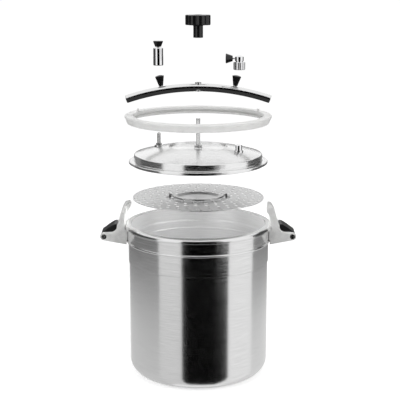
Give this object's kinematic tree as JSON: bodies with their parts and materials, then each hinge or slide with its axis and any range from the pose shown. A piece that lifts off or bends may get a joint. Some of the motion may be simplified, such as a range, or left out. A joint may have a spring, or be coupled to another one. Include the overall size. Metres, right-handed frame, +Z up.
{
  "type": "pressure canner",
  "caption": "Deep aluminium canning pot with a domed lid, sealing ring, perforated rack and hooked clamp bar, its pieces raised above it along one axis.",
  "frame": {"origin": "centre of the pot's base, on the surface it stands on", "axes": "+Z up along the pot's axis; +X towards the right-hand side bracket; -Y towards the front"},
  "size_m": [0.4192, 0.3162, 0.77],
  "materials": {
    "pot_aluminium": "brushed, spun",
    "lid_aluminium": "brushed, spun",
    "rack_aluminium": "satin",
    "cast_aluminium": "as cast, tumbled",
    "bar_steel": "polished",
    "fastener_steel": "satin",
    "valve_chrome": "polished",
    "spring_steel": "drawn wire",
    "screw_brass": "machined",
    "knob_black": "moulded, semi-gloss",
    "grip_black": "moulded, satin",
    "seal_silicone": "milky silicone"
  },
  "bodies": {
    "pot": {"pot_body": "pot_aluminium", "right_bracket": "cast_aluminium", "left_bracket": "cast_aluminium", "right_grip": "grip_black", "left_grip": "grip_black", "grip_bolts": "fastener_steel", "grip_nuts": "fastener_steel", "bracket_rivets": "fastener_steel"},
    "lid": {"lid_shell": "lid_aluminium", "center_stud": "fastener_steel", "stud_nut": "fastener_steel", "lid_seals": "seal_silicone", "port_nuts": "fastener_steel", "vent_post": "fastener_steel", "vent_strainer": "fastener_steel", "safety_seat": "valve_chrome"},
    "sealing_ring": {"gasket": "seal_silicone"},
    "rack": {"rack_plate": "rack_aluminium", "rack_eyelets": "rack_aluminium"},
    "bail": {"rack_bail": "fastener_steel"},
    "bush": {"bar_bush": "fastener_steel"},
    "bar": {"clamp_bar": "bar_steel", "bar_caps": "bar_steel", "bar_knobs": "knob_black", "bar_screws": "fastener_steel"},
    "ring": {"thrust_ring": "fastener_steel"},
    "insert": {"knob_insert": "screw_brass"},
    "knob": {"star_knob": "knob_black"},
    "valve": {"valve_weight": "valve_chrome", "valve_sleeve": "screw_brass", "valve_spring": "spring_steel"},
    "needle": {"valve_needle": "fastener_steel"},
    "valve_cone": {"valve_knob": "knob_black", "valve_spindle": "fastener_steel"},
    "safety": {"safety_nut": "valve_chrome", "safety_body": "valve_chrome", "safety_spring": "spring_steel"},
    "poppet": {"safety_poppet": "fastener_steel"},
    "puller": {"pull_pin": "fastener_steel", "pull_knob": "knob_black"}
  },
  "joints": [
    {"name": "lid_lift", "type": "slide", "parent": "pot", "child": "lid", "axis": [0, 0, 1], "range_m": [-0.1267, 0]},
    {"name": "gasket_lift", "type": "slide", "parent": "lid", "child": "sealing_ring", "axis": [0, 0, 1], "range_m": [-0.089, 0], "deforming": ["gasket"]},
    {"name": "rack_lift", "type": "slide", "parent": "lid", "child": "rack", "axis": [0, 0, 1], "range_m": [-0.2355, 0]},
    {"name": "bail_swing", "type": "hinge", "parent": "rack", "child": "bail", "pos_m": [0, 0, 0.3896], "axis": [-1, 0, 0], "range_deg": [0, 90]},
    {"name": "bar_lift", "type": "slide", "parent": "lid", "child": "bush", "axis": [0, 0, 1], "range_m": [-0.1105, 0]},
    {"name": "bar_turn", "type": "hinge", "parent": "bush", "child": "bar", "pos_m": [0, 0, 0.62], "axis": [0, 0, 1], "range_deg": [-4, 70]},
    {"name": "knob_lift", "type": "slide", "parent": "bush", "child": "ring", "axis": [0, 0, 1], "range_m": [-0.0921, 0]},
    {"name": "knob_feed", "type": "slide", "parent": "ring", "child": "insert", "axis": [0, 0, 1], "range_m": [-0.002, 0]},
    {"name": "knob_turn", "type": "hinge", "parent": "insert", "child": "knob", "pos_m": [0, 0, 0.74], "axis": [0, 0, 1], "range_deg": [-361, 0]},
    {"name": "valve_lift", "type": "slide", "parent": "lid", "child": "valve", "axis": [0, 0, 1], "range_m": [-0.1632, 0]},
    {"name": "needle_lift", "type": "slide", "parent": "valve", "child": "needle", "axis": [0, 0, 1], "range_m": [0, 0.002], "stiffness_N_per_m": 300, "springref_m": -0.001, "deforming": ["valve_spring"]},
    {"name": "valve_cone_turn", "type": "hinge", "parent": "valve", "child": "valve_cone", "pos_m": [-0.08449, 0.03413, 0.7], "axis": [0, 0, 1], "range_deg": [0, 180]},
    {"name": "safety_lift", "type": "slide", "parent": "lid", "child": "safety", "axis": [0, 0, 1], "range_m": [-0.1667, 0]},
    {"name": "pull", "type": "slide", "parent": "safety", "child": "puller", "axis": [-1, 0, 0], "range_m": [0, 0.005], "stiffness_N_per_m": 60, "springref_m": -0.002},
    {"name": "poppet_lift", "type": "slide", "parent": "safety", "child": "poppet", "axis": [0, 0, 1], "range_m": [0, 0.0016], "stiffness_N_per_m": 300, "springref_m": -0.001, "deforming": ["safety_spring"]}
  ],
  "couplings": [
    {"joint": "knob_turn", "follows": "knob_feed", "rad_per_m": 3141.6},
    {"joint": "poppet_lift", "follows": "pull", "ratio": 0.3}
  ]
}
